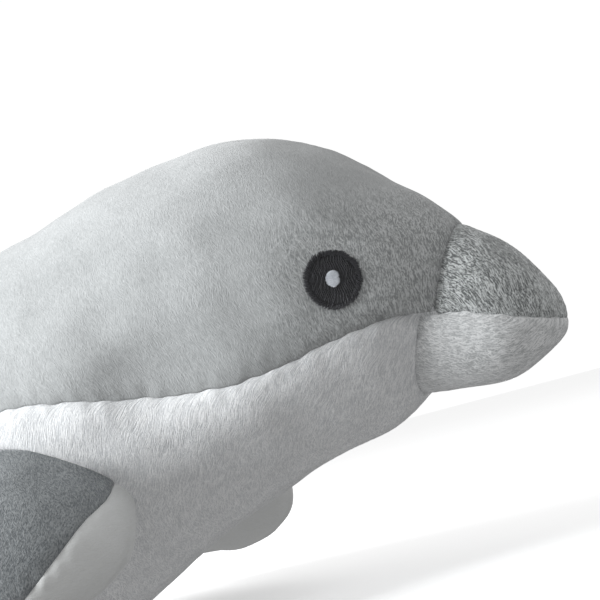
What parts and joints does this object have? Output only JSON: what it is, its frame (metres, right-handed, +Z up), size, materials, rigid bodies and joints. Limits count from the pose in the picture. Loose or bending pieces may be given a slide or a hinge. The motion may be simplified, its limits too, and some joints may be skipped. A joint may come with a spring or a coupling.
{
  "type": "plush dolphin",
  "caption": "Stuffed plush dolphin with a domed head, beak, flippers, dorsal fin and fluke, grey over a white belly, with embroidered eyes.",
  "frame": {"origin": "centre of the bounding box, on the surface that the belly rests on", "axes": "+X towards the tip of the beak, +Y to the animal's left, +Z up"},
  "size_m": [0.5409, 0.2556, 0.1805],
  "materials": {
    "grey_plush": "short velvet plush, soft sheen",
    "white_plush": "short velvet plush, soft sheen",
    "seam_cloth": "raw cut edge of plush cloth",
    "stuffing": "loose polyester fibre fill",
    "black_thread": "satin-stitched embroidery thread",
    "pale_thread": "satin-stitched embroidery thread",
    "grey_thread": "matte sewing thread"
  },
  "bodies": {
    "torso": {"back_panel_left": "grey_plush", "back_panel_right": "grey_plush", "belly_panel": "white_plush", "body_stuffing": "stuffing", "eye_left": "black_thread", "eye_right": "black_thread", "eye_highlight_left": "pale_thread", "eye_highlight_right": "pale_thread", "closing_stitches": "grey_thread"},
    "beak": {"beak_upper_panel": "grey_plush", "beak_lower_panel": "white_plush", "beak_stuffing": "stuffing"},
    "flipper_left": {"flipper_left_top_panel": "grey_plush", "flipper_left_under_panel": "white_plush", "flipper_left_stuffing": "stuffing"},
    "flipper_right": {"flipper_right_top_panel": "grey_plush", "flipper_right_under_panel": "white_plush", "flipper_right_stuffing": "stuffing"},
    "dorsal_fin": {"dorsal_left_panel": "grey_plush", "dorsal_right_panel": "grey_plush", "dorsal_stuffing": "stuffing"},
    "tail_core": {"tail_root_stuffing": "stuffing", "tail_seam_allowance": "seam_cloth"},
    "tail": {"tail_panel_left": "grey_plush", "tail_panel_right": "grey_plush", "tail_under_panel": "white_plush", "tail_stuffing": "stuffing"},
    "fluke": {"fluke_top_panel": "grey_plush", "fluke_under_panel": "white_plush", "fluke_stuffing": "stuffing"}
  },
  "joints": [
    {"name": "beak_nod", "type": "hinge", "parent": "torso", "child": "beak", "pos_m": [0.2315, 0, 0.0845], "axis": [0, 1, 0], "range_deg": [-8, 8], "stiffness_Nm_per_rad": 2},
    {"name": "flipper_left_flap", "type": "hinge", "parent": "torso", "child": "flipper_left", "pos_m": [0.095, 0.0752, 0.05], "axis": [0.9903, -0.1392, 0], "range_deg": [-14, 75], "stiffness_Nm_per_rad": 0.5},
    {"name": "flipper_right_flap", "type": "hinge", "parent": "torso", "child": "flipper_right", "pos_m": [0.095, -0.0752, 0.05], "axis": [-0.9903, -0.1392, 0], "range_deg": [-14, 75], "stiffness_Nm_per_rad": 0.5},
    {"name": "dorsal_fin_sway", "type": "hinge", "parent": "torso", "child": "dorsal_fin", "pos_m": [0.00667, 0, 0.14019], "axis": [0.966, 0, 0.2584], "range_deg": [-35, 35], "stiffness_Nm_per_rad": 0.3},
    {"name": "tail_sway", "type": "hinge", "parent": "torso", "child": "tail_core", "pos_m": [-0.118, 0, 0.054], "axis": [0, 0, 1], "range_deg": [-18, 18], "stiffness_Nm_per_rad": 2.5},
    {"name": "tail_bend", "type": "hinge", "parent": "tail_core", "child": "tail", "pos_m": [-0.118, 0, 0.054], "axis": [0, 1, 0], "range_deg": [-12, 18], "stiffness_Nm_per_rad": 2.5},
    {"name": "fluke_bend", "type": "hinge", "parent": "tail", "child": "fluke", "pos_m": [-0.205, 0, 0.052], "axis": [0, 1, 0], "range_deg": [-20, 35], "stiffness_Nm_per_rad": 0.5}
  ]
}
